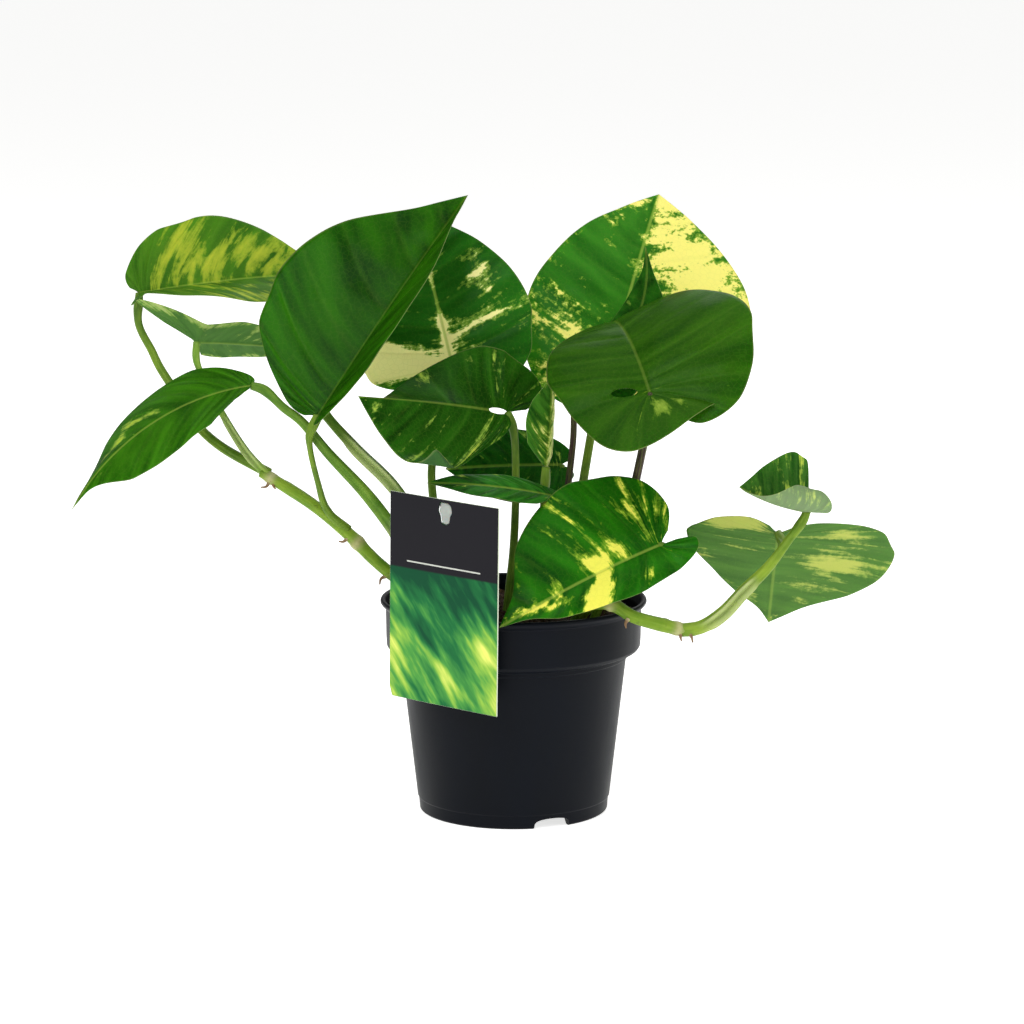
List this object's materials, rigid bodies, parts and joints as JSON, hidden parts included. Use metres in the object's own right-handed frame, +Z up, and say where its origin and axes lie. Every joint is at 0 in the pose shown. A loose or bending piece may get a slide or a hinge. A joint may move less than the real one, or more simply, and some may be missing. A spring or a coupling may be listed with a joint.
{
  "type": "potted trailing houseplant",
  "caption": "Bushy variegated climbing plant with heart-shaped leaves on arching stalks, growing from soil in a round tapered black nursery pot with a hanging label card.",
  "frame": {"origin": "on the pot's axis, at the height of the ring that the pot stands on", "axes": "+Z up along the pot's axis, -Y the front where the label card hangs, +X to the right seen from the front"},
  "size_m": [0.3678, 0.1711, 0.2756],
  "materials": {
    "leaf": "waxy green leaf with cream and yellow marbling",
    "stem": "smooth yellow-green stem with pale ribs",
    "soil": "damp dark brown peat",
    "pot": "satin near-black moulded plastic",
    "card": "glossy printed card, charcoal over green",
    "stake": "pale grey plastic"
  },
  "bodies": {
    "root": {"label_card": "card", "label_stake": "stake", "leaf_back_left": "leaf", "leaf_back_right": "leaf", "leaf_behind_right": "leaf", "leaf_centre": "leaf", "leaf_drooping_left": "leaf", "leaf_far_left": "leaf", "leaf_front_heart": "leaf", "leaf_front_left": "leaf", "leaf_front_right": "leaf", "leaf_hidden_left": "leaf", "leaf_inner": "leaf", "leaf_large_left": "leaf", "leaf_right_far": "leaf", "leaf_right_small": "leaf", "leaf_small_left": "leaf", "leaf_young": "leaf", "pot": "pot", "soil": "soil", "vine_left": "stem", "vine_right": "stem"}
  },
  "joints": []
}
